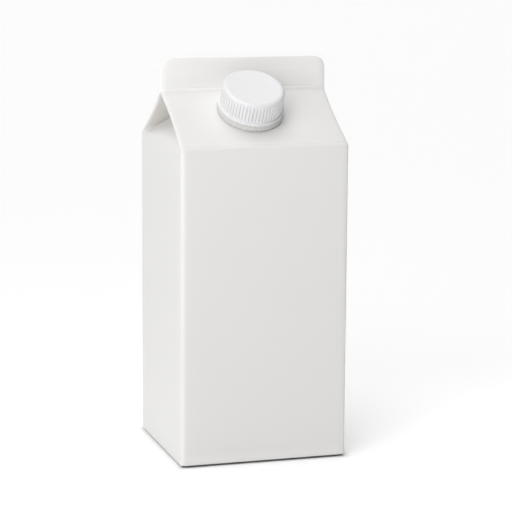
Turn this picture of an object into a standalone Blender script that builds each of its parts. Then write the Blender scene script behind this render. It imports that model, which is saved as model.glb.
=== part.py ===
"""A gable-top carton: a box of folded board with a sealed fin on its roof and a screw cap on the front slope.

X runs along the fin, the capped front faces -Y and +Z is up. The origin is the middle of the base.
Lengths are in metres.
"""

import math

import bmesh
import bpy
from mathutils import Vector

MM = 0.001

# Box of folded board
WIDTH = 95.0 * MM
DEPTH = 90.0 * MM
EAVE_HEIGHT = 174.5 * MM
RIDGE_RISE = 27.0 * MM
FIN_HEIGHT = 18.3 * MM
FIN_THICKNESS = 3.0 * MM
ROOF_PLY = 2.0 * MM
ROOF_EDGE_BOW = 0.8 * MM
POCKET_REACH = 30.5 * MM

# Radii of folds and cut corners
UPRIGHT_RADIUS = 2.4 * MM
EAVE_RADIUS = 3.0 * MM
BASE_RADIUS = 1.2 * MM
RIDGE_RADIUS = 1.0 * MM
FIN_TOP_RADIUS = 1.3 * MM
FIN_CORNER_RADIUS = 5.5 * MM
ROOF_EDGE_RADIUS = 40.0 * MM
ARC_STEP = math.radians(15)

# Seam of the overlapping base flaps
SEAM_OFFSET = 9.0 * MM
SEAM_WIDTH = 1.2 * MM
SEAM_DEPTH = 0.5 * MM
SEAM_INSET = 4.0 * MM

# Spout on the front slope, measured up the slope from the eave
SPOUT_X = -1.5 * MM
SPOUT_UP_SLOPE = 31.5 * MM
SEAT_GAP = 0.3 * MM
RING_RADIUS = 18.2 * MM
RING_FOOT_RADIUS = 18.4 * MM
RING_HEIGHT = 3.1 * MM
RING_ROUNDING = 0.3 * MM
TURN_STEPS = 72

# Screw cap
CAP_HEIGHT = 13.0 * MM
LIP_RADIUS = 18.2 * MM
LIP_HEIGHT = 1.6 * MM
LIP_CHAMFER = 0.4 * MM
RIB_BASE_RADIUS = 17.3 * MM
RIB_TOP_RADIUS = 17.1 * MM
RIB_DEPTH = 0.5 * MM
RIB_COUNT = 56
RIB_CORNERS = ((0.0, 0.0), (0.3, 0.0), (0.5, 1.0), (0.8, 1.0))
CROWN_RADIUS = 2.2 * MM
CROWN_STEPS = 4

# Values that follow
RIDGE_HEIGHT = EAVE_HEIGHT + RIDGE_RISE
TOP_HEIGHT = RIDGE_HEIGHT + FIN_HEIGHT
ROOF_SLOPE = RIDGE_RISE / ((DEPTH - FIN_THICKNESS) / 2)
ROOF_TILT = math.atan(ROOF_SLOPE)
CUT_MARGIN = 10.0 * MM
WELD_DISTANCE = 0.001 * MM


def new_collection(name):
    """A collection of this name in the scene."""
    collection = bpy.data.collections.new(name)
    bpy.context.scene.collection.children.link(collection)
    return collection


def new_material(name, color, roughness):
    """A non-metal surface of one colour."""
    material = bpy.data.materials.new(name)
    material.use_nodes = True
    shader = material.node_tree.nodes["Principled BSDF"]
    shader.inputs["Base Color"].default_value = (*color, 1.0)
    shader.inputs["Roughness"].default_value = roughness
    shader.inputs["Metallic"].default_value = 0.0
    return material


def rounded(corners):
    """The outline through these (x, y, radius) corners, each one rounded by an arc."""
    points = []
    for index, (x, y, radius) in enumerate(corners):
        corner = Vector((x, y))
        before = (Vector(corners[index - 1][:2]) - corner).normalized()
        after = (Vector(corners[(index + 1) % len(corners)][:2]) - corner).normalized()
        half_angle = before.angle(after) / 2
        centre = corner + (before + after).normalized() * radius / math.sin(half_angle)
        first = corner + before * radius / math.tan(half_angle) - centre
        sweep = math.pi - 2 * half_angle
        if before.x * after.y - before.y * after.x > 0:
            sweep = -sweep
        steps = max(2, math.ceil(abs(sweep) / ARC_STEP))
        start = math.atan2(first.y, first.x)
        for step in range(steps + 1):
            angle = start + sweep * step / steps
            points.append((centre.x + radius * math.cos(angle), centre.y + radius * math.sin(angle)))
    return points


def extruded(name, outline, thickness, rotation, collection):
    """A mesh plate: the flat outline in local X and Y, thickened about its plane and then turned."""
    curve = bpy.data.curves.new(name + "_outline", "CURVE")
    curve.dimensions = "2D"
    curve.fill_mode = "BOTH"
    curve.extrude = thickness / 2
    spline = curve.splines.new("POLY")
    spline.points.add(len(outline) - 1)
    for point, (x, y) in zip(spline.points, outline):
        point.co = (x, y, 0.0, 1.0)
    spline.use_cyclic_u = True
    guide = bpy.data.objects.new(name + "_outline", curve)
    collection.objects.link(guide)
    graph = bpy.context.evaluated_depsgraph_get()
    mesh = bpy.data.meshes.new_from_object(guide.evaluated_get(graph))
    mesh.name = name
    bpy.data.objects.remove(guide)

    work = bmesh.new()
    work.from_mesh(mesh)
    bmesh.ops.remove_doubles(work, verts=work.verts, dist=WELD_DISTANCE)
    bmesh.ops.recalc_face_normals(work, faces=work.faces)
    work.to_mesh(mesh)
    work.free()
    plate = bpy.data.objects.new(name, mesh)
    plate.rotation_euler = rotation
    collection.objects.link(plate)
    return plate


def as_cutter(obj):
    """Keeps the object out of renders and draws it as wire."""
    obj.hide_render = True
    obj.display_type = "WIRE"
    return obj


def add_boolean(obj, cutter, operation):
    """An exact Boolean of the object with a cutter."""
    modifier = obj.modifiers.new(cutter.name, "BOOLEAN")
    modifier.operation = operation
    modifier.object = cutter
    modifier.solver = "EXACT"


def shade_smooth(mesh):
    """Smooth shading that keeps the folds and rims sharp."""
    mesh.shade_smooth()
    mesh.set_sharp_from_angle(angle=math.radians(30))


def side_outline():
    """The carton seen along the fin, in Y and Z: box, roof and fin."""
    half_depth = DEPTH / 2
    half_fin = FIN_THICKNESS / 2
    return rounded(
        [
            (-half_depth, 0.0, BASE_RADIUS),
            (half_depth, 0.0, BASE_RADIUS),
            (half_depth, EAVE_HEIGHT, EAVE_RADIUS),
            (half_fin, RIDGE_HEIGHT, RIDGE_RADIUS),
            (half_fin, TOP_HEIGHT, FIN_TOP_RADIUS),
            (-half_fin, TOP_HEIGHT, FIN_TOP_RADIUS),
            (-half_fin, RIDGE_HEIGHT, RIDGE_RADIUS),
            (-half_depth, EAVE_HEIGHT, EAVE_RADIUS),
        ]
    )


def front_outline():
    """The carton seen from the front, in X and Z: the roof's ends bow in and the fin has round top corners."""
    half_width = WIDTH / 2
    mid_roof = EAVE_HEIGHT + RIDGE_RISE / 2
    right_side = [
        (half_width, 0.0, BASE_RADIUS),
        (half_width, EAVE_HEIGHT, ROOF_EDGE_RADIUS),
        (half_width - ROOF_EDGE_BOW, mid_roof, ROOF_EDGE_RADIUS),
        (half_width, RIDGE_HEIGHT, ROOF_EDGE_RADIUS),
        (half_width, TOP_HEIGHT, FIN_CORNER_RADIUS),
    ]
    left_side = [(-x, z, radius) for x, z, radius in reversed(right_side)]
    return rounded(right_side + left_side)


def plan_outline():
    """The box seen from above, with its four upright folds rounded."""
    signs = ((-1, -1), (1, -1), (1, 1), (-1, 1))
    return rounded([(sx * WIDTH / 2, sy * DEPTH / 2, UPRIGHT_RADIUS) for sx, sy in signs])


def end_pocket(name, side, collection):
    """The hollow at one end of the roof: a wedge between the gusset and the flaps under the roof panels."""
    mouth_x = side * WIDTH / 2
    peak_height = RIDGE_HEIGHT + ROOF_SLOPE * FIN_THICKNESS / 2 - ROOF_PLY / math.cos(ROOF_TILT)
    half_mouth = (peak_height - EAVE_HEIGHT) / ROOF_SLOPE
    apex = Vector((side * (WIDTH / 2 - POCKET_REACH), 0.0, peak_height))
    mouth = [
        Vector((mouth_x, -half_mouth, EAVE_HEIGHT)),
        Vector((mouth_x, half_mouth, EAVE_HEIGHT)),
        Vector((mouth_x, 0.0, peak_height)),
    ]
    reach = 1 + CUT_MARGIN / POCKET_REACH
    work = bmesh.new()
    work.verts.new(apex)
    for corner in mouth:
        work.verts.new(apex + (corner - apex) * reach)
    bmesh.ops.convex_hull(work, input=work.verts)
    bmesh.ops.recalc_face_normals(work, faces=work.faces)
    mesh = bpy.data.meshes.new(name)
    work.to_mesh(mesh)
    work.free()
    pocket = bpy.data.objects.new(name, mesh)
    collection.objects.link(pocket)
    return as_cutter(pocket)


def base_seam(collection):
    """The step where one base flap ends on the other, as a shallow groove along X."""
    work = bmesh.new()
    bmesh.ops.create_cube(work, size=1.0)
    size = (WIDTH - 2 * SEAM_INSET, SEAM_WIDTH, 2 * SEAM_DEPTH)
    bmesh.ops.scale(work, vec=size, verts=work.verts)
    mesh = bpy.data.meshes.new("base_seam")
    work.to_mesh(mesh)
    work.free()
    seam = bpy.data.objects.new("base_seam", mesh)
    seam.location = (0.0, -SEAM_OFFSET, 0.0)
    collection.objects.link(seam)
    return as_cutter(seam)


def build_carton(parts, cutters, material):
    """The box, roof and fin: the side outline along X, trimmed by the other two outlines and the pockets."""
    upright = (math.pi / 2, 0.0, 0.0)
    along_x = (math.pi / 2, 0.0, math.pi / 2)
    carton = extruded("carton", side_outline(), WIDTH + 2 * CUT_MARGIN, along_x, parts)
    plan = extruded("plan_trim", plan_outline(), 2 * (TOP_HEIGHT + CUT_MARGIN), (0.0, 0.0, 0.0), cutters)
    front = extruded("front_trim", front_outline(), DEPTH + 2 * CUT_MARGIN, upright, cutters)
    add_boolean(carton, as_cutter(plan), "INTERSECT")
    add_boolean(carton, as_cutter(front), "INTERSECT")
    add_boolean(carton, end_pocket("left_pocket", -1, cutters), "DIFFERENCE")
    add_boolean(carton, end_pocket("right_pocket", 1, cutters), "DIFFERENCE")
    add_boolean(carton, base_seam(cutters), "DIFFERENCE")
    carton.data.materials.append(material)
    shade_smooth(carton.data)


def spout_frame(parts):
    """An empty on the front slope, whose Z stands square to the roof panel."""
    frame = bpy.data.objects.new("spout_frame", None)
    frame.location = (
        SPOUT_X,
        -DEPTH / 2 + SPOUT_UP_SLOPE * math.cos(ROOF_TILT),
        EAVE_HEIGHT + SPOUT_UP_SLOPE * math.sin(ROOF_TILT),
    )
    frame.rotation_euler = (ROOF_TILT, 0.0, 0.0)
    parts.objects.link(frame)
    return frame


def build_ring(parts, frame, material):
    """The low turned ring that the cap screws down to, a little wider at the roof."""
    corner = RING_RADIUS - RING_ROUNDING
    profile = [(0.0, RING_HEIGHT), (corner, RING_HEIGHT)]
    for step in range(1, CROWN_STEPS + 1):
        angle = math.pi / 2 * (1 - step / CROWN_STEPS)
        rounding = Vector((math.cos(angle), math.sin(angle))) * RING_ROUNDING
        profile.append((corner + rounding.x, RING_HEIGHT - RING_ROUNDING + rounding.y))
    profile += [(RING_FOOT_RADIUS, 0.0), (0.0, 0.0)]

    mesh = bpy.data.meshes.new("tamper_ring")
    links = [(i, i + 1) for i in range(len(profile) - 1)]
    mesh.from_pydata([(x, 0.0, z) for x, z in profile], links, [])
    ring = bpy.data.objects.new("tamper_ring", mesh)
    parts.objects.link(ring)
    ring.parent = frame
    ring.location = (0.0, 0.0, SEAT_GAP)
    turn = ring.modifiers.new("turn", "SCREW")
    turn.angle = 2 * math.pi
    turn.steps = TURN_STEPS
    turn.render_steps = TURN_STEPS
    turn.use_merge_vertices = True
    turn.merge_threshold = WELD_DISTANCE
    turn.use_smooth_shade = True
    mesh.materials.append(material)


def cap_levels():
    """The cap's section from its lip to its crown, as (height, radius, rib depth)."""
    rib_foot = LIP_HEIGHT + LIP_CHAMFER
    rib_head = CAP_HEIGHT - CROWN_RADIUS
    levels = [
        (0.0, LIP_RADIUS - LIP_CHAMFER, 0.0),
        (LIP_CHAMFER, LIP_RADIUS, 0.0),
        (LIP_HEIGHT, LIP_RADIUS, 0.0),
        (rib_foot, RIB_BASE_RADIUS, RIB_DEPTH),
        (rib_head - RIB_DEPTH, RIB_TOP_RADIUS, RIB_DEPTH),
    ]
    for step in range(CROWN_STEPS + 1):
        angle = math.pi / 2 * step / CROWN_STEPS
        level = rib_head + CROWN_RADIUS * math.sin(angle)
        radius = RIB_TOP_RADIUS - CROWN_RADIUS * (1 - math.cos(angle))
        levels.append((level, radius, 0.0))
    return levels


def build_cap(parts, frame, material):
    """The ribbed screw cap, a loft through ribbed and plain round sections."""
    work = bmesh.new()
    below = None
    for height, radius, rib_depth in cap_levels():
        ring = []
        for rib in range(RIB_COUNT):
            for phase, depth in RIB_CORNERS:
                angle = 2 * math.pi * (rib + phase) / RIB_COUNT
                reach = radius - depth * rib_depth
                ring.append(work.verts.new((reach * math.cos(angle), reach * math.sin(angle), height)))
        if below is None:
            work.faces.new(reversed(ring))
        else:
            for index in range(len(ring)):
                work.faces.new((below[index - 1], below[index], ring[index], ring[index - 1]))
        below = ring
    work.faces.new(below)
    mesh = bpy.data.meshes.new("screw_cap")
    work.to_mesh(mesh)
    work.free()
    cap = bpy.data.objects.new("screw_cap", mesh)
    parts.objects.link(cap)
    cap.parent = frame
    cap.location = (0.0, 0.0, RING_HEIGHT + 2 * SEAT_GAP)
    mesh.materials.append(material)
    shade_smooth(mesh)


def main():
    """Clears the scene, then builds the carton, the ring and the cap."""
    for obj in list(bpy.data.objects):
        bpy.data.objects.remove(obj)
    parts = new_collection("cream_carton")
    cutters = new_collection("cutters")
    board = new_material("coated_board", (0.85, 0.85, 0.83), 0.5)
    ring_plastic = new_material("ring_plastic", (0.83, 0.83, 0.84), 0.4)
    cap_plastic = new_material("cap_plastic", (0.86, 0.86, 0.88), 0.35)
    build_carton(parts, cutters, board)
    frame = spout_frame(parts)
    build_ring(parts, frame, ring_plastic)
    build_cap(parts, frame, cap_plastic)


main()
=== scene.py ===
"""The looks of a white gable-top carton with a ribbed screw cap. Metres, +Z up."""

import math

import bmesh
import bpy
from mathutils import Matrix, Vector


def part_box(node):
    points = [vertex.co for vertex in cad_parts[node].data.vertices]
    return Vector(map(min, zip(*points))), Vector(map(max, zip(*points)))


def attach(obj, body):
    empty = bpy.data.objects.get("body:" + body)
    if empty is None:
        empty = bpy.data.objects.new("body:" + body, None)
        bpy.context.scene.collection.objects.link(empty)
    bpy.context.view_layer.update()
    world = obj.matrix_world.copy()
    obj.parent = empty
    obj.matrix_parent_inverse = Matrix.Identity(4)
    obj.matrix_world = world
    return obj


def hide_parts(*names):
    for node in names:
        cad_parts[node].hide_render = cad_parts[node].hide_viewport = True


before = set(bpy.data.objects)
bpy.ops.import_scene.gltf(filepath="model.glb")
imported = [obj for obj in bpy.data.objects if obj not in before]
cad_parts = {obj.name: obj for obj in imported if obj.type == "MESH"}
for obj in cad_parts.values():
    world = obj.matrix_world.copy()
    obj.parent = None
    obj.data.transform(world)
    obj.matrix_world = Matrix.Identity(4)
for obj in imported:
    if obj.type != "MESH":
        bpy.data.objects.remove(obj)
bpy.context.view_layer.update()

MM = 0.001

# Box of folded board, with its extents read from the frame
CARTON_LOW, CARTON_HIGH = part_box("carton")
HALF_WIDTH = (CARTON_HIGH.x - CARTON_LOW.x) / 2
HALF_DEPTH = (CARTON_HIGH.y - CARTON_LOW.y) / 2
TOP_HEIGHT = CARTON_HIGH.z
EAVE_HEIGHT = 174.5 * MM
RIDGE_RISE = 27.0 * MM
RIDGE_HEIGHT = EAVE_HEIGHT + RIDGE_RISE
FIN_RISE = TOP_HEIGHT - RIDGE_HEIGHT
HALF_FIN = 1.5 * MM
ROOF_SLOPE = RIDGE_RISE / (HALF_DEPTH - HALF_FIN)
ROOF_TILT = math.atan(ROOF_SLOPE)
ROOF_LENGTH = math.hypot(RIDGE_RISE, HALF_DEPTH - HALF_FIN)
ROOF_PLY = 2.0 * MM
PEAK_HEIGHT = RIDGE_HEIGHT + ROOF_SLOPE * HALF_FIN - ROOF_PLY / math.cos(ROOF_TILT)
HALF_MOUTH = (PEAK_HEIGHT - EAVE_HEIGHT) / ROOF_SLOPE
POCKET_REACH = 30.5 * MM

# Shape of the filled pack: corners drawn in, panels standing out between them
CORNER_INSET = 0.2 * MM
PANEL_BULGE = 0.2 * MM
ROOF_EDGE_BOW = 0.8 * MM
GUSSET_SOFTNESS = 4.0 * MM
GUSSET_BULGE = 2.0 * MM

# Folds of the base, with the front panel's edge held clear of the floor
BASE_LIFT = 0.45 * MM
FRONT_GAP = 1.1 * MM
GAP_EDGE = 0.6 * MM
GAP_DEPTH = 0.9 * MM
BASE_LINE_Y = -9.0 * MM
BASE_LINE_DEPTH = 0.5 * MM
BASE_LINE_REACH = 0.5 * MM
BASE_LINE_LOOPS = (-0.8 * MM, -0.4 * MM, 0.4 * MM, 0.8 * MM)

# Smoothing of the folded board, and distances from a fold to the loops that hold its rounding
SUBDIVISION_LEVELS = 2
UPRIGHT_FOLD = 4.0 * MM
ROOF_EDGE_FOLD = 2.4 * MM
EAVE_FOLD = 3.0 * MM
BASE_FOLD = 2.0 * MM
FIN_CORNER = 6.2 * MM
FLAP_EDGE_FOLD = 2.2 * MM

# Stations across the front, counted from the left end, with five even steps each side of the middle
STATION_COUNT = 8
LAST_STATION = 2 * STATION_COUNT
MIDDLE_STATIONS = 5
MIDDLE_INSET = 13.0 * MM
SIDE_LOOP = 9.0 * MM

# Loops up the wall, and up the roof as shares of its rise
BASE_LOOP = 6.0 * MM
WALL_LOOPS_START = 20.0 * MM
WALL_LOOPS_BELOW_EAVE = 22.0 * MM
WALL_LOOP_STEPS = 7
EAVE_LOOP = 9.0 * MM
ROOF_LOW_LOOP = 0.13
ROOF_LOOPS_START = 0.23
ROOF_LOOPS_END = 0.86
ROOF_LOOP_STEPS = 5
ROOF_HIGH_LOOP = 0.95

# Pocket at each end: places across the gusset and the flaps, and how sharply their edges are held
GUSSET_SHARES = (0.05, 0.16, 0.27, 0.5, 0.6, 0.72, 0.84, 0.95)
GUSSET_FLATNESS = 4
FLAP_SHARES = (0.33, 0.66)
FLAP_HOLD = 2.0 * MM
FLAP_HOLD_SHARE = 0.22
FLAP_EDGE_SHARE = 0.15
LEAST_LENGTH = 0.1 * MM
FIRST_CREASE_COLUMN = 6
GUSSET_CREASE = 0.85
RIDGE_CREASE = 1.0
RIDGE_SHARES = (0.33, 0.66, 0.93, 1.0)
RIDGE_LIP = 0.3 * MM

# Fin: half thickness of its sealed, raised and lower bands, and the split between its two folded plies
FIN_SEALED = 1.25 * MM
FIN_RAISED = 1.5 * MM
FIN_LOWER = 1.3 * MM
FIN_EDGE = 0.8 * FIN_SEALED
FIN_END_SHARE = 0.5
SEAL_LINE = 8.1 * MM
LOWER_LINE = 13.5 * MM
LINE_STEP = 0.4 * MM
BEAD_HEIGHT = 1.3 * MM
BEAD_OUT = 0.3 * MM
BEAD_FOOT_LOOP = 0.3 * BEAD_HEIGHT
BEAD_TOP_LOOP = 0.8 * BEAD_HEIGHT
ABOVE_BEAD_LOOP = 1.4 * BEAD_HEIGHT
PLY_SPLIT = 0.35 * MM
SPLIT_DEPTH = 0.5 * MM
SPLIT_PROFILE = ((HALF_WIDTH, -PLY_SPLIT), (HALF_WIDTH - SPLIT_DEPTH, 0.0), (HALF_WIDTH, PLY_SPLIT))

# Pressed crease line a little way up the roof panel
CREASE_UP_SLOPE = 2.5 * MM
CREASE_HALF_WIDTH = 0.6 * MM
CREASE_DEPTH = 0.7 * MM

# Spout on the front slope, measured up the slope from the eave
SPOUT_X = -1.5 * MM
SPOUT_UP_SLOPE = 31.5 * MM

# Upright ribs, turned round the spout's axis
TURN_COUNT = 56
POINTS_A_RIB = 12
VALLEY_NARROWNESS = 1.1
RIB_DEPTH = 0.75 * MM
RIB_LOW = 5.2 * MM
RIB_HIGH = 14.3 * MM
RIB_FADE = 0.7 * MM
RIB_FADE_STEPS = 4
RIB_STEPS = 4
RIB_FOOT_RADIUS = 17.3 * MM
RIB_RADIUS = 17.2 * MM
RING_RIB_DEPTH = 0.35 * MM

# Cap: lip, crown and the shallow dish in its top, as (radius, depth) in millimetres
CAP_TOP = 16.68 * MM
CAP_UNDERSIDE = 3.45 * MM
UNDERSIDE_RADIUS = 15.5 * MM
LIP_RADIUS = 18.15 * MM
LIP_LOW_ROUND = 0.2 * MM
LIP_HIGH_ROUND = 0.35 * MM
LIP_HIGH_CENTER = 4.75 * MM
LIP_HIGH_END = 80
LIP_LOW_STEPS = 3
LIP_HIGH_STEPS = 4
CROWN_RADIUS = 17.1 * MM
CROWN_ROUND = 2.2 * MM
CROWN_STEPS = 9
CROWN_FADE_STEPS = 2.5
DISH_MM = ((13.8, 0.02), (12.8, 0.15), (6.0, 0.17), (0.6, 0.17))

# Ring: its undercut at the roof, the band and the top edge just below the cap, as (radius, height, share)
RING_SUNK = 0.6 * MM
UNDERCUT_RADIUS = 17.3 * MM
UNDERCUT_HEIGHT = 0.3 * MM
BAND_FOOT_RADIUS = 18.35 * MM
BAND_FOOT_ROUND = 0.2 * MM
BAND_FOOT_CORNER = 0.4 * MM
BAND_TOP_RADIUS = 18.1 * MM
BAND_LOW_MM = 0.6
BAND_HIGH_MM = 2.9
BAND_SHARES = (0.3, 0.6, 1.0)
BAND_TOP_MM = ((18.0, 3.1, 0.3), (17.8, 3.2, 0.0), (15.0, 3.2, 0.0))

# Painted light and shade on the board: shares by which it is painted lighter in the fin and with highlights
# on folds, and painted darker with shade elsewhere
FIN_PAINTED_LIGHT = 0.14
FOLD_PAINTED_HIGHLIGHT = 0.06
POCKET_PAINTED_SHADE = (0.10, 0.125, 0.15)
GAP_PAINTED_SHADOW = 0.93
FOOT_PAINTED_SHADE = 0.12

# Where the board's painted light and shade begin and are full, and where a band of it starts to fade and
# ends
FIN_ABOVE_RIDGE = (-1.0 * MM, 3.0 * MM)
FOLD_BELOW_EAVE = (0.0, -UPRIGHT_FOLD)
FOLD_FROM_CORNER = (3.4 * MM, 1.9 * MM)
FOLD_ABOVE_BASE = (9.0 * MM, 2.0 * MM)
FOLD_BEHIND_FRONT = (4.0 * MM, 2.0 * MM)
BEAD_ABOVE_RIDGE = (-0.2 * MM, 0.1 * MM, 0.9 * BEAD_HEIGHT, 1.2 * BEAD_HEIGHT)
POCKET_UNDER_ROOF = (1.2 * MM, 2.2 * MM, 3.0 * MM, 4.5 * MM)
POCKET_ABOVE_EAVE = (1.0 * MM, 6.0 * MM)
GAP_BEHIND_FRONT = (0.4 * GAP_EDGE, 0.8 * GAP_EDGE, 1.5 * MM, 2.2 * MM)
GAP_ABOVE_BASE = (1.35 * FRONT_GAP, 1.05 * FRONT_GAP)
FOOT_FROM_LEFT = (1.5 * MM, 0.4 * MM)
FOOT_ABOVE_BASE = (1.6 * MM, 0.6 * MM)

# Painted shade on the cap: shares by which it is painted darker in the valleys between its ribs and on its
# rounded crown
VALLEY_PAINTED_SHADE = 0.17
CROWN_PAINTED_SHADE = 0.06
VALLEY_DEPTHS = (0.3 * RIB_DEPTH, 0.9 * RIB_DEPTH)
CROWN_INSETS = (3.0 * MM, 2.0 * MM)

# Finishes: light and dark colour, roughness, then features a metre and depth, of the grain and of the waves
FINISHES = {
    "coated_board": ((0.787, 0.78, 0.768), (0.774, 0.767, 0.755), 0.4, (1400, 0.012 * MM), (16, 0.12 * MM)),
    "cap_white": ((0.825, 0.826, 0.84), (0.815, 0.816, 0.83), 0.5, (2500, 0.004 * MM), (60, 0.02 * MM)),
    # The ring's grey colour is painted shade of its band under the cap's lip
    "ring_grey_painted_shade": ((0.70, 0.697, 0.69), (0.66, 0.657, 0.65), 0.45, (2500, 0.004 * MM), (60, 0.02 * MM)),
    "floor_white": ((0.9, 0.9, 0.9), (0.89, 0.89, 0.89), 0.9, (200, 0.01 * MM), (3, 0.05 * MM)),
}
ROUGHNESS_SPREAD = 0.05
NOISE_DETAIL = 2.0
NOISE_ROUGHNESS = 0.5
BLOTCHES_A_WAVE = 1.7
BLOTCH_DETAIL = 3.0

# Sockets of the mix node when it mixes colours
MIX_SHARE = 0
MIX_FIRST = 6
MIX_SECOND = 7
MIX_RESULT = 2

# Camera fitted to the photograph, with its target on the carton's middle plane
IMAGE_WIDTH_PX = 512
SENSOR_MM = 36.0
FOCAL_PX = 2009.1
CAMERA_YAW = math.radians(-17.0)
CAMERA_PITCH = math.radians(9.93)
CAMERA_ROLL = math.radians(-0.37)
CAMERA_DISTANCE = 1133.3 * MM
CAMERA_TARGET = Vector((8.25 * MM, 0.0, 107.4 * MM))

# Colours of the light
WARM = (1.0, 0.995, 0.985)
PLAIN = (1.0, 1.0, 1.0)
COOL = (0.95, 1.0, 1.05)

# World light as soft lobes: (strength, direction, how narrow, colour)
WORLD_LOBES = (
    (0.09, (0.0, 0.0, 1.0), 2.0, PLAIN),
    (0.30, (0.7, 0.7, 0.2), 4.0, PLAIN),
    (1.58, (0.0, 1.0, 0.3), 4.0, PLAIN),
)

# Distant soft lights: (strength, direction they shine from, colour)
SUNS = (
    (0.98, (-0.7, -0.7, 0.25), WARM),
    (1.64, (-0.1, -0.1, 1.0), PLAIN),
)
SUN_SPREAD = math.radians(50)

# Near soft lights: (name, watts, place, aim, width, height, colour)
NEAR_LIGHTS = (
    ("over_front", 0.37, (-0.15, -0.30, 0.42), (0.0, 0.0, 0.12), 0.25, 0.25, WARM),
    ("tall_corner", 0.36, (-0.36, -0.34, 0.22), (0.0, 0.0, 0.22), 0.15, 1.0, PLAIN),
    ("left_fold", 0.09, (-0.36, -0.14, 0.10), (-0.05, -0.05, 0.10), 0.06, 0.5, COOL),
)

# Floor, which glows a little outside the carton's outline, with the glow faded near the base as a painted
# contact shadow
FLOOR_REACH = 40.0
FLOOR_GLOW = 0.185
CONTACT_SHADOW_FADE = 5 * MM


def link(obj):
    """Puts the object in the scene."""
    bpy.context.scene.collection.objects.link(obj)
    return obj


def dress(obj, node):
    """Gives a visual piece its place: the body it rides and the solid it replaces."""
    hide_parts(node)
    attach(obj, "root")
    return obj


def smooth_object(name, work):
    """The closed shape in the bmesh as a smooth object in the scene."""
    bmesh.ops.recalc_face_normals(work, faces=work.faces)
    mesh = bpy.data.meshes.new(name)
    work.to_mesh(mesh)
    work.free()
    mesh.shade_smooth()
    return link(bpy.data.objects.new(name, mesh))


def mix(low, high, share):
    """Value between low and high."""
    return low + (high - low) * share


def spread(low, high, steps):
    """Evenly spaced values from low to high, both included."""
    return [mix(low, high, step / steps) for step in range(steps + 1)]


def clamp(value):
    """The value, kept between 0 and 1."""
    return min(max(value, 0.0), 1.0)


# Rows of the carton's cross-section, from the base up: (part, share of the roof's rise, half depth, height)


def wall_rows():
    """The upright wall."""
    heights = [0.0, BASE_FOLD, BASE_LOOP]
    heights += spread(WALL_LOOPS_START, EAVE_HEIGHT - WALL_LOOPS_BELOW_EAVE, WALL_LOOP_STEPS)
    heights += [EAVE_HEIGHT - EAVE_LOOP, EAVE_HEIGHT - EAVE_FOLD]
    return [("wall", 0.0, HALF_DEPTH, height) for height in heights]


def roof_rows():
    """The roof panel with its pressed crease, up to the foot of the fin's bead."""
    crease = [(CREASE_UP_SLOPE + side * CREASE_HALF_WIDTH) / ROOF_LENGTH for side in (-1, 0, 1)]
    shares = [0.0] + crease + [ROOF_LOW_LOOP]
    shares += spread(ROOF_LOOPS_START, ROOF_LOOPS_END, ROOF_LOOP_STEPS) + [ROOF_HIGH_LOOP, 1.0]
    rows = []
    for u in shares:
        depth = CREASE_DEPTH if u == crease[1] else 0.0
        bead = BEAD_OUT * ROOF_SLOPE if u == 1.0 else 0.0
        half = mix(HALF_DEPTH, HALF_FIN, u) - depth * math.sin(ROOF_TILT)
        height = EAVE_HEIGHT + u * RIDGE_RISE - depth * math.cos(ROOF_TILT) - bead
        rows.append(("roof", u, max(half, HALF_FIN + BEAD_OUT), height))
    return rows


def fin_rows():
    """The fin: its bead, lower band, raised band and sealed band, up to the split between its plies."""
    lower_line = FIN_RISE - LOWER_LINE
    seal_line = FIN_RISE - SEAL_LINE
    profile = [
        (BEAD_FOOT_LOOP, HALF_FIN + BEAD_OUT),
        (BEAD_TOP_LOOP, HALF_FIN + BEAD_OUT),
        (BEAD_HEIGHT, FIN_LOWER),
        (ABOVE_BEAD_LOOP, FIN_LOWER),
        (lower_line - LINE_STEP, FIN_LOWER),
        (lower_line, FIN_RAISED),
        (seal_line, FIN_RAISED),
        (seal_line + LINE_STEP, FIN_SEALED),
        (FIN_RISE - FIN_CORNER, FIN_SEALED),
        (FIN_RISE - FIN_CORNER / 2, FIN_SEALED),
        (FIN_RISE - PLY_SPLIT * 2, FIN_SEALED),
        (FIN_RISE, FIN_EDGE),
    ]
    return [("fin", 1.0, half, RIDGE_HEIGHT + rise) for rise, half in profile]


def station_x(j, part, u):
    """Distance along X of station j of a row, counted from the left end."""
    side = -1 if j < STATION_COUNT else 1
    step = abs(j - STATION_COUNT)
    far_loop, near_loop = {
        "wall": (SIDE_LOOP, UPRIGHT_FOLD),
        "roof": (mix(SIDE_LOOP, FIN_CORNER, u), mix(ROOF_EDGE_FOLD, FIN_CORNER / 2, u)),
        "fin": (FIN_CORNER, FIN_CORNER / 2),
    }[part]
    if step <= MIDDLE_STATIONS:
        return side * (HALF_WIDTH - MIDDLE_INSET) * step / MIDDLE_STATIONS
    return side * (HALF_WIDTH - (far_loop, near_loop, 0.0)[step - MIDDLE_STATIONS - 1])


def gusset_shares():
    """Places across the end cap between its two creases, with four kept for the base's overlap line."""
    crease = HALF_MOUTH - FLAP_EDGE_FOLD
    line = [(BASE_LINE_Y + offset + crease) / (2 * crease) for offset in BASE_LINE_LOOPS]
    return sorted([*GUSSET_SHARES, *line])


def gusset_inward(z):
    """Distance inward of the end panel's middle: upright below, leaning in above, with a soft fold."""
    slope = POCKET_REACH / (PEAK_HEIGHT - EAVE_HEIGHT)
    above = z - EAVE_HEIGHT
    folded = slope * (above + math.hypot(above, GUSSET_SOFTNESS)) / 2
    return folded - GUSSET_BULGE * math.sin(math.pi * clamp(above / (PEAK_HEIGHT - EAVE_HEIGHT)))


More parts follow.
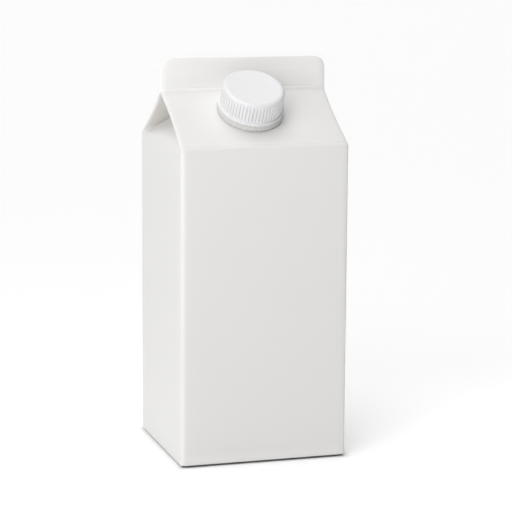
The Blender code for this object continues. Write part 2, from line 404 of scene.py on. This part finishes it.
def end_columns(part, u, z):
    """One row of an end cap between its outer corners, as points (distance inward, y, z), front to back."""
    if part == "wall":
        mouth = Vector((0.0, -(HALF_DEPTH - UPRIGHT_FOLD), z))
        crease = Vector((0.0, -(HALF_MOUTH - FLAP_EDGE_FOLD), z))
    else:
        z = mix(EAVE_HEIGHT, PEAK_HEIGHT, u)
        spare = FLAP_EDGE_FOLD * max(0.0, 1 - u / FLAP_EDGE_SHARE)
        mouth = Vector((0.0, -HALF_MOUTH * (1 - u), z))
        crease = Vector((POCKET_REACH * u, -(HALF_MOUTH - spare) * (1 - u), z))
    length = max((crease - mouth).length, LEAST_LENGTH)
    hold = min(FLAP_HOLD_SHARE, FLAP_HOLD / length)
    front = [mouth.lerp(crease, share) for share in (0.0, hold, *FLAP_SHARES, 1 - hold, 1.0)]
    back = [Vector((p.x, -p.y, p.z)) for p in reversed(front)]
    gusset = []
    for share in gusset_shares():
        point = front[-1].lerp(back[0], share)
        middle = 1 - (2 * share - 1) ** GUSSET_FLATNESS
        point.x = mix(point.x, max(0.0, gusset_inward(z)), middle)
        gusset.append(point)
    return front + gusset + back


def settle(point):
    """Moves a point of the plain folded shape to its place in the filled pack."""
    x, y, z = point
    height = clamp(z / EAVE_HEIGHT)
    roof = clamp((z - EAVE_HEIGHT) / RIDGE_RISE)
    inset = CORNER_INSET * (1 - roof)
    bow = ROOF_EDGE_BOW * math.sin(math.pi * roof)
    bulge = PANEL_BULGE * math.sin(math.pi * height) ** 0.5 if 0 < height < 1 else 0.0
    on_side = max(0.0, 1 - (y / HALF_DEPTH) ** 2) * bulge
    on_front = max(0.0, 1 - (x / HALF_WIDTH) ** 2) * bulge
    moved_x = x * (1 - (inset + bow - on_side) / HALF_WIDTH)
    moved_y = y * (1 - (inset - on_front) / HALF_DEPTH)

    # Rounding of the fin's corners, from a square grid to a quarter disc
    across = (abs(x) - (HALF_WIDTH - FIN_CORNER)) / FIN_CORNER
    up = (z - (TOP_HEIGHT - FIN_CORNER)) / FIN_CORNER
    if across > 0 and up > 0:
        round_x = FIN_CORNER * across * math.sqrt(1 - up * up / 2)
        round_z = FIN_CORNER * up * math.sqrt(1 - across * across / 2)
        moved_x = math.copysign(HALF_WIDTH - FIN_CORNER + round_x, x)
        z = TOP_HEIGHT - FIN_CORNER + round_z
    return Vector((moved_x, moved_y, z))


def add_point(work, x, y, z):
    """A vertex of the plain folded shape, settled into the filled pack."""
    return work.verts.new(settle((x, y, z)))


def add_face(work, *corners):
    """A face through the corners, where a corner that is given twice running counts once."""
    ring = [v for i, v in enumerate(corners) if v is not corners[i - 1]]
    if len(ring) > 2:
        work.faces.new(ring)


def outer_points(work, rows):
    """Vertices of every station's closed section: front, back, split top and base, by (row, station)."""
    front, back, top, base = {}, {}, {}, {}
    base_ys = [GAP_EDGE - HALF_DEPTH, GAP_DEPTH - HALF_DEPTH]
    base_ys += [point.y for point in end_columns("wall", 0.0, 0.0)][2:]
    split_x = HALF_WIDTH - SPLIT_DEPTH
    for j in range(LAST_STATION + 1):
        at_end = j in (0, LAST_STATION)
        for i, (part, u, half, z) in enumerate(rows):
            x = station_x(j, part, u)
            if part == "fin" and at_end:
                half *= FIN_END_SHARE
            front[i, j] = add_point(work, x, -half, z if i else FRONT_GAP)
            back[i, j] = add_point(work, x, half, z if i else BASE_LIFT)
        x = station_x(j, "fin", 1.0)
        top[0, j] = add_point(work, x, -PLY_SPLIT, TOP_HEIGHT)
        top[1, j] = add_point(work, math.copysign(min(abs(x), split_x), x), 0.0, TOP_HEIGHT - SPLIT_DEPTH)
        top[2, j] = add_point(work, x, PLY_SPLIT, TOP_HEIGHT)
        x = station_x(j, "wall", 0.0)
        for c, y in enumerate(base_ys):
            in_line = abs(y - BASE_LINE_Y) < BASE_LINE_REACH and 1 < j < LAST_STATION - 1
            level = BASE_LIFT if at_end else BASE_LINE_DEPTH if in_line else 0.0
            base[c, j] = add_point(work, x, y, level if c else FRONT_GAP)
    return front, back, top, base


def at_station(points, j):
    """A station's vertices in row order."""
    return [points[key] for key in sorted(points) if key[1] == j]


def section(outer, j):
    """The closed section at a station, starting at the front's base corner."""
    front, back, top, base = (at_station(points, j) for points in outer)
    return front[:1] + base + back + top[::-1] + front[:0:-1]


def ridge_line(work, side):
    """The ridge row of an end cap: both flaps meet from the fin's split to the gusset's apex."""
    depths = [SPLIT_DEPTH] + [share * POCKET_REACH for share in RIDGE_SHARES]
    line = [add_point(work, side * (HALF_WIDTH - depth), 0.0, PEAK_HEIGHT) for depth in depths]
    lips = [add_point(work, side * HALF_WIDTH, y, PEAK_HEIGHT + RIDGE_LIP) for y in (-PLY_SPLIT, PLY_SPLIT)]
    apex = [line[-1]] * len(gusset_shares())
    return lips[:1] + line + apex + line[::-1] + lips[1:]


def end_grid(work, rows, outer, j, side):
    """Rows of an end cap: the side panel, then the pocket of flaps and gusset, then the fin's split end."""
    front, back, top, base = (at_station(points, j) for points in outer)
    grid = []
    for i, (part, u, _, z) in enumerate(rows):
        if i == 0:
            inner = base
        elif i == len(rows) - 1:
            inner = top
        elif part == "fin":
            inner = [add_point(work, side * x, y, z) for x, y in SPLIT_PROFILE]
        elif u == 1.0:
            inner = ridge_line(work, side)
        else:
            points = end_columns(part, u, z)
            inner = [add_point(work, side * (HALF_WIDTH - p.x), p.y, p.z) for p in points]
        grid.append([front[i]] + inner + [back[i]])
    return grid


def set_crease(work, ends, sharpness):
    """Sharpens the edge between two vertices, where there is one."""
    edge = work.edges.get(ends)
    if edge is not None:
        edge[work.edges.layers.float["crease_edge"]] = sharpness


def build_end(work, rows, outer, j, side):
    """Faces of an end cap, with the pocket's creases sharpened."""
    grid = end_grid(work, rows, outer, j, side)
    ridge_row = max(i for i, row in enumerate(rows) if row[0] == "roof")
    for i in range(len(rows) - 1):
        lower, upper = grid[i], grid[i + 1]
        if i == ridge_row:
            # The split end above starts from five points of the ridge row: outer edges, lips and split
            lower = lower[:3] + lower[-2:]
        for c in range(len(upper) - 1):
            add_face(work, lower[c], lower[c + 1], upper[c + 1], upper[c])
    for i in range(ridge_row):
        if rows[i][1] > 0:
            for column in (FIRST_CREASE_COLUMN, -1 - FIRST_CREASE_COLUMN):
                set_crease(work, (grid[i][column], grid[i + 1][column]), GUSSET_CREASE)
    inner_ridge = grid[ridge_row][2 : FIRST_CREASE_COLUMN + 1]
    for ends in zip(inner_ridge, inner_ridge[1:]):
        set_crease(work, ends, RIDGE_CREASE)


def build_carton():
    """The folded board as one closed cage of quads under a subdivision surface."""
    work = bmesh.new()
    work.edges.layers.float.new("crease_edge")
    rows = wall_rows() + roof_rows() + fin_rows()
    outer = outer_points(work, rows)
    for j in range(LAST_STATION):
        left, right = section(outer, j), section(outer, j + 1)
        for k in range(len(left)):
            add_face(work, left[k - 1], left[k], right[k], right[k - 1])
    build_end(work, rows, outer, 0, -1)
    build_end(work, rows, outer, LAST_STATION, 1)
    carton = smooth_object("folded_carton", work)
    smooth = carton.modifiers.new("smooth", "SUBSURF")
    smooth.levels = SUBDIVISION_LEVELS
    smooth.render_levels = SUBDIVISION_LEVELS
    return dress(carton, "carton")


def spout_matrix():
    """Place of the spout's axis: its foot on the front slope, turned to stand square to it."""
    foot = Vector((
        SPOUT_X,
        -HALF_DEPTH + SPOUT_UP_SLOPE * math.cos(ROOF_TILT),
        EAVE_HEIGHT + SPOUT_UP_SLOPE * math.sin(ROOF_TILT),
    ))
    return Matrix.Translation(foot) @ Matrix.Rotation(ROOF_TILT, 4, "X")


# Profiles of the turned pieces, as levels: (radius, height, share of the rib depth)


def turned(name, levels, groove):
    """A closed piece turned round the spout's axis, from its outer foot to its middle, with upright ribs."""
    work = bmesh.new()
    count = TURN_COUNT * POINTS_A_RIB
    place = spout_matrix()
    loops = []
    for radius, height, share in levels:
        loop = []
        for k in range(count):
            angle = 2 * math.pi * k / count
            valley = max(0.0, math.cos(angle * TURN_COUNT)) ** VALLEY_NARROWNESS
            r = radius - groove * share * valley
            loop.append(work.verts.new(place @ Vector((r * math.cos(angle), r * math.sin(angle), height))))
        loops.append(loop)
    for lower, upper in zip(loops, loops[1:]):
        for k in range(count):
            work.faces.new((lower[k - 1], lower[k], upper[k], upper[k - 1]))
    work.faces.new(loops[-1])
    work.faces.new(list(reversed(loops[0])))
    return smooth_object(name, work)


def arc(center_r, center_h, radius, start, end, steps):
    """Levels along an arc in the profile, with angles in degrees from the outward direction."""
    angles = [math.radians(a) for a in spread(start, end, steps)]
    return [(center_r + radius * math.cos(a), center_h + radius * math.sin(a), 0.0) for a in angles]


def rib_level(height):
    """The level of the ribbed wall at a height, where the ribs grow out of the wall over their fade."""
    radius = mix(RIB_FOOT_RADIUS, CROWN_RADIUS, (height - RIB_LOW) / (RIB_HIGH - RIB_LOW))
    fade = clamp((height - RIB_LOW) / RIB_FADE)
    return radius, height, math.sin(fade * math.pi / 2)


def build_cap():
    """The ribbed cap: a plain lip, upright ribs and a rounded crown round a shallow dish."""
    levels = [(UNDERSIDE_RADIUS, CAP_UNDERSIDE, 0.0)]
    low_center = (LIP_RADIUS - LIP_LOW_ROUND, CAP_UNDERSIDE + LIP_LOW_ROUND)
    high_center = (LIP_RADIUS - LIP_HIGH_ROUND, LIP_HIGH_CENTER)
    levels += arc(*low_center, LIP_LOW_ROUND, -90, 0, LIP_LOW_STEPS)
    levels += arc(*high_center, LIP_HIGH_ROUND, 0, LIP_HIGH_END, LIP_HIGH_STEPS)
    heights = [RIB_LOW + RIB_FADE * step / RIB_FADE_STEPS for step in range(-1, RIB_FADE_STEPS + 1)]
    heights += spread(RIB_LOW + 2 * RIB_FADE, RIB_HIGH - RIB_FADE, RIB_STEPS)
    levels += [rib_level(height) for height in heights]
    crown = arc(CROWN_RADIUS - CROWN_ROUND, CAP_TOP - CROWN_ROUND, CROWN_ROUND, 0, 90, CROWN_STEPS)
    for step, (radius, height, _) in enumerate(crown):
        levels.append((radius, height, max(0.0, 1 - step / CROWN_FADE_STEPS)))
    levels += [(radius * MM, CAP_TOP - depth * MM, 0.0) for radius, depth in DISH_MM]
    return dress(turned("ribbed_cap", levels, RIB_DEPTH), "screw_cap")


def build_ring():
    """The band below the cap, wider at its foot, undercut at the roof and marked with fine upright lines."""
    levels = [(UNDERCUT_RADIUS, -RING_SUNK, 0.0), (UNDERCUT_RADIUS, UNDERCUT_HEIGHT, 0.0)]
    levels.append((BAND_FOOT_RADIUS - BAND_FOOT_ROUND, BAND_FOOT_CORNER, 0.0))
    levels.append((BAND_FOOT_RADIUS, BAND_LOW_MM * MM, 1.0))
    for share in BAND_SHARES:
        height = mix(BAND_LOW_MM, BAND_HIGH_MM, share) * MM
        levels.append((mix(BAND_FOOT_RADIUS, BAND_TOP_RADIUS, share), height, 1.0))
    levels += [(radius * MM, height * MM, share) for radius, height, share in BAND_TOP_MM]
    return dress(turned("spout_band", levels, RING_RIB_DEPTH), "tamper_ring")


def add_node(tree, kind, inputs=None, **settings):
    """A shader node with its settings made and its sockets filled or linked."""
    node = tree.nodes.new(kind)
    for name, value in settings.items():
        setattr(node, name, value)
    for socket, value in (inputs or {}).items():
        if isinstance(value, bpy.types.NodeSocket):
            tree.links.new(value, node.inputs[socket])
        else:
            node.inputs[socket].default_value = value
    return node


def calculate(tree, operation, *values):
    """One step of arithmetic."""
    return add_node(tree, "ShaderNodeMath", dict(enumerate(values)), operation=operation).outputs[0]


def calculate_vector(tree, operation, *values):
    """One step of arithmetic with vectors, which gives a number for a length or a dot product."""
    node = add_node(tree, "ShaderNodeVectorMath", dict(enumerate(values)), operation=operation)
    return node.outputs["Value" if operation in ("LENGTH", "DOT_PRODUCT") else "Vector"]


def ramp(tree, value, start, full):
    """Rises smoothly from 0 to 1 as the value goes from start to full, whichever is larger."""
    inputs = {"Value": value, "From Min": start, "From Max": full}
    return add_node(tree, "ShaderNodeMapRange", inputs, interpolation_type="SMOOTHSTEP").outputs["Result"]


def band(tree, value, start, full, fading, end):
    """Rises from 0 at the start to 1 where it is full, and falls again from fading to the end."""
    return calculate(tree, "MULTIPLY", ramp(tree, value, start, full), ramp(tree, value, end, fading))


def noise(tree, coords, scale, detail=NOISE_DETAIL):
    """Smooth noise in object space, with its scale in features a metre."""
    inputs = {"Vector": coords, "Scale": scale, "Detail": detail, "Roughness": NOISE_ROUGHNESS}
    return add_node(tree, "ShaderNodeTexNoise", inputs).outputs["Fac"]


def place_on_object(tree):
    """Place of the shaded point in the object's own coordinates."""
    return add_node(tree, "ShaderNodeTexCoord").outputs["Object"]


def surface(name):
    """A pale satin surface with a little unevenness of tone, sheen and height."""
    light, dark, roughness, (grain_scale, grain_depth), (wave_scale, wave_depth) = FINISHES[name]
    material = bpy.data.materials.new(name)
    material.use_nodes = True
    tree = material.node_tree
    shader = tree.nodes["Principled BSDF"]
    coords = place_on_object(tree)
    blotch = noise(tree, coords, wave_scale * BLOTCHES_A_WAVE, BLOTCH_DETAIL)
    grain = noise(tree, coords, grain_scale)
    wave = noise(tree, coords, wave_scale)
    colors = {MIX_SHARE: blotch, MIX_FIRST: (*dark, 1.0), MIX_SECOND: (*light, 1.0)}
    tone = add_node(tree, "ShaderNodeMix", colors, data_type="RGBA")
    tree.links.new(tone.outputs[MIX_RESULT], shader.inputs["Base Color"])
    limits = {"To Min": roughness - ROUGHNESS_SPREAD, "To Max": roughness + ROUGHNESS_SPREAD}
    sheen = add_node(tree, "ShaderNodeMapRange", {"Value": blotch, **limits})
    tree.links.new(sheen.outputs["Result"], shader.inputs["Roughness"])
    waves = add_node(tree, "ShaderNodeBump", {"Height": wave, "Distance": wave_depth, "Strength": 1.0})
    relief = {"Height": grain, "Distance": grain_depth, "Normal": waves.outputs["Normal"]}
    grains = add_node(tree, "ShaderNodeBump", relief)
    tree.links.new(grains.outputs["Normal"], shader.inputs["Normal"])
    return material


def tint(material, factor):
    """Multiplies the material's own colour by a factor that varies over the surface."""
    tree = material.node_tree
    base_color = tree.nodes["Principled BSDF"].inputs["Base Color"]
    own_color = base_color.links[0].from_socket
    tree.links.new(calculate_vector(tree, "MULTIPLY", own_color, factor), base_color)
    return material


def paint_light_and_shade_by_place(material):
    """Painted light and shade on the board: painted light in the fin, painted highlights on folds, painted
    shade in the pockets and at the foot, and a painted shadow in the gap.
    """
    tree = material.node_tree
    parts = add_node(tree, "ShaderNodeSeparateXYZ", {"Vector": place_on_object(tree)}).outputs
    above_base = parts["Z"]
    above_eave = calculate(tree, "SUBTRACT", above_base, EAVE_HEIGHT)
    above_ridge = calculate(tree, "SUBTRACT", above_base, RIDGE_HEIGHT)
    from_left = calculate(tree, "ADD", parts["X"], HALF_WIDTH)
    behind_front = calculate(tree, "ADD", parts["Y"], HALF_DEPTH)
    across = calculate(tree, "ABSOLUTE", parts["X"])
    outward = calculate(tree, "ABSOLUTE", parts["Y"])
    reach = calculate(tree, "ADD", across, outward)
    from_corner = calculate(tree, "SUBTRACT", HALF_WIDTH + HALF_DEPTH, reach)
    roof_z = calculate(tree, "MULTIPLY_ADD", outward, -ROOF_SLOPE, EAVE_HEIGHT + HALF_DEPTH * ROOF_SLOPE)
    under_roof = calculate(tree, "SUBTRACT", roof_z, above_base)

    # Painted highlights on the folds: the upright corners, the front's base fold and the bead, and then
    # painted light on the fin
    in_box = ramp(tree, above_eave, *FOLD_BELOW_EAVE)
    on_upright = calculate(tree, "MULTIPLY", ramp(tree, from_corner, *FOLD_FROM_CORNER), in_box)
    on_front = ramp(tree, behind_front, *FOLD_BEHIND_FRONT)
    on_base = calculate(tree, "MULTIPLY", ramp(tree, above_base, *FOLD_ABOVE_BASE), on_front)
    on_bead = band(tree, above_ridge, *BEAD_ABOVE_RIDGE)
    fold_highlight = calculate(tree, "MAXIMUM", on_upright, calculate(tree, "MAXIMUM", on_base, on_bead))
    fin_light = ramp(tree, above_ridge, *FIN_ABOVE_RIDGE)
    factor = calculate(tree, "MULTIPLY_ADD", fold_highlight, FOLD_PAINTED_HIGHLIGHT, 1.0)
    factor = calculate(tree, "MULTIPLY_ADD", fin_light, FIN_PAINTED_LIGHT, factor)

    # Painted shade at the foot on the left, a painted shadow in the dark gap under the front, and warm grey
    # painted shade on the flaps in the pockets
    at_left = ramp(tree, from_left, *FOOT_FROM_LEFT)
    foot_shade = calculate(tree, "MULTIPLY", at_left, ramp(tree, above_base, *FOOT_ABOVE_BASE))
    near_floor = ramp(tree, above_base, *GAP_ABOVE_BASE)
    gap_shadow = calculate(tree, "MULTIPLY", near_floor, band(tree, behind_front, *GAP_BEHIND_FRONT))
    flap = band(tree, under_roof, *POCKET_UNDER_ROOF)
    pocket_shade = calculate(tree, "MULTIPLY", flap, ramp(tree, above_eave, *POCKET_ABOVE_EAVE))
    factor = calculate(tree, "MULTIPLY_ADD", foot_shade, -FOOT_PAINTED_SHADE, factor)
    factor = calculate(tree, "MULTIPLY_ADD", gap_shadow, -GAP_PAINTED_SHADOW, factor)
    pocket_shading = [-share for share in POCKET_PAINTED_SHADE]
    return tint(material, calculate_vector(tree, "MULTIPLY_ADD", pocket_shade, pocket_shading, factor))


def paint_shade_by_groove(material):
    """Painted shade on the cap: greyer in the valleys between its ribs and on its crown, by place round its
    axis.
    """
    tree = material.node_tree
    spout = spout_matrix()
    axis = spout.col[2].to_3d()
    from_foot = calculate_vector(tree, "SUBTRACT", place_on_object(tree), spout.translation)
    height = calculate_vector(tree, "DOT_PRODUCT", from_foot, axis)
    radius = calculate_vector(tree, "LENGTH", calculate_vector(tree, "CROSS_PRODUCT", from_foot, axis))
    on_ribs = band(tree, height, RIB_LOW, RIB_LOW + RIB_FADE, RIB_HIGH - RIB_FADE, RIB_HIGH)
    deep = ramp(tree, radius, *[RIB_RADIUS - depth for depth in VALLEY_DEPTHS])
    valley_shade = calculate(tree, "MULTIPLY", deep, on_ribs)
    # Painted shade on the rounded crown above the ribs, dimming its highlight
    above_ribs = ramp(tree, height, RIB_HIGH, RIB_HIGH + 2 * RIB_FADE)
    outside_dish = ramp(tree, radius, *[RIB_RADIUS - inset for inset in CROWN_INSETS])
    crown_shade = calculate(tree, "MULTIPLY", above_ribs, outside_dish)
    factor = calculate(tree, "MULTIPLY_ADD", valley_shade, -VALLEY_PAINTED_SHADE, 1.0)
    return tint(material, calculate(tree, "MULTIPLY_ADD", crown_shade, -CROWN_PAINTED_SHADE, factor))


def make_camera():
    """The camera at the photograph's angle, with no shift."""
    sin_yaw, cos_yaw = math.sin(CAMERA_YAW), math.cos(CAMERA_YAW)
    sin_pitch, cos_pitch = math.sin(CAMERA_PITCH), math.cos(CAMERA_PITCH)
    right = Vector((cos_yaw, sin_yaw, 0.0))
    forward = Vector((-sin_yaw * cos_pitch, cos_yaw * cos_pitch, -sin_pitch))
    up = right.cross(forward)
    turn = Matrix.Rotation(CAMERA_ROLL, 3, forward)
    right, up = turn @ right, turn @ up
    data = bpy.data.cameras.new("camera")
    data.sensor_width = SENSOR_MM
    data.lens = FOCAL_PX / IMAGE_WIDTH_PX * SENSOR_MM
    camera = link(bpy.data.objects.new("camera", data))
    axes = Matrix((right, up, -forward)).transposed().to_4x4()
    camera.matrix_world = Matrix.Translation(CAMERA_TARGET - forward * CAMERA_DISTANCE) @ axes
    bpy.context.scene.camera = camera


def make_world():
    """Soft light from all round as a sum of wide lobes."""
    world = bpy.data.worlds.new("studio")
    world.use_nodes = True
    tree = world.node_tree
    direction = add_node(tree, "ShaderNodeTexCoord").outputs["Generated"]
    total = None
    for strength, axis, power, color in WORLD_LOBES:
        toward = calculate_vector(tree, "DOT_PRODUCT", direction, Vector(axis).normalized())
        lobe = calculate(tree, "POWER", calculate(tree, "MAXIMUM", toward, 0.0), power)
        glow = calculate_vector(tree, "MULTIPLY", [strength * channel for channel in color], lobe)
        total = glow if total is None else calculate_vector(tree, "ADD", total, glow)
    tree.links.new(total, tree.nodes["Background"].inputs["Color"])
    bpy.context.scene.world = world


def aim_light(light, backward):
    """Turns a light so that it shines away from the backward direction."""
    light.rotation_euler = Vector(backward).to_track_quat("Z", "Y").to_euler()


def make_suns():
    """Distant soft lights that reach the whole floor alike."""
    for k, (strength, toward, color) in enumerate(SUNS):
        data = bpy.data.lights.new(f"sun_{k}", "SUN")
        data.energy = strength
        data.angle = SUN_SPREAD
        data.color = color
        aim_light(link(bpy.data.objects.new(f"sun_{k}", data)), toward)


def make_near_lights():
    """Soft lights close to the carton, whose light falls off along its faces."""
    for name, watts, place, aim, width, height, color in NEAR_LIGHTS:
        data = bpy.data.lights.new(name, "AREA")
        data.shape = "RECTANGLE"
        data.size = width
        data.size_y = height
        data.energy = watts
        data.color = color
        light = link(bpy.data.objects.new(name, data))
        light.location = place
        aim_light(light, Vector(place) - Vector(aim))


def make_floor():
    """A wide pale floor with a faint glow that fades out at the edge of the carton's base, as a painted
    contact shadow round it.
    """
    mesh = bpy.data.meshes.new("floor")
    corners = [(FLOOR_REACH * x, FLOOR_REACH * y, 0.0) for x, y in ((-1, -1), (1, -1), (1, 1), (-1, 1))]
    mesh.from_pydata(corners, [], [(0, 1, 2, 3)])
    floor = link(bpy.data.objects.new("floor", mesh))
    white = surface("floor_white")
    tree = white.node_tree
    shader = tree.nodes["Principled BSDF"]
    shader.inputs["Emission Color"].default_value = (1.0, 1.0, 1.0, 1.0)
    outward = calculate_vector(tree, "ABSOLUTE", place_on_object(tree))
    past_edge = calculate_vector(tree, "SUBTRACT", outward, (HALF_WIDTH, HALF_DEPTH, 0.0))
    outside = calculate_vector(tree, "MAXIMUM", past_edge, (0.0, 0.0, 0.0))
    distance = calculate_vector(tree, "LENGTH", outside)
    glow = calculate(tree, "MULTIPLY", ramp(tree, distance, 0.0, CONTACT_SHADOW_FADE), FLOOR_GLOW)
    tree.links.new(glow, shader.inputs["Emission Strength"])
    mesh.materials.append(white)


def main():
    """Camera, light and floor, then the three pieces in their finishes."""
    make_camera()
    make_world()
    make_suns()
    make_near_lights()
    make_floor()
    build_carton().data.materials.append(paint_light_and_shade_by_place(surface("coated_board")))
    build_cap().data.materials.append(paint_shade_by_groove(surface("cap_white")))
    build_ring().data.materials.append(surface("ring_grey_painted_shade"))
    bpy.context.scene.view_settings.view_transform = "Standard"


main()
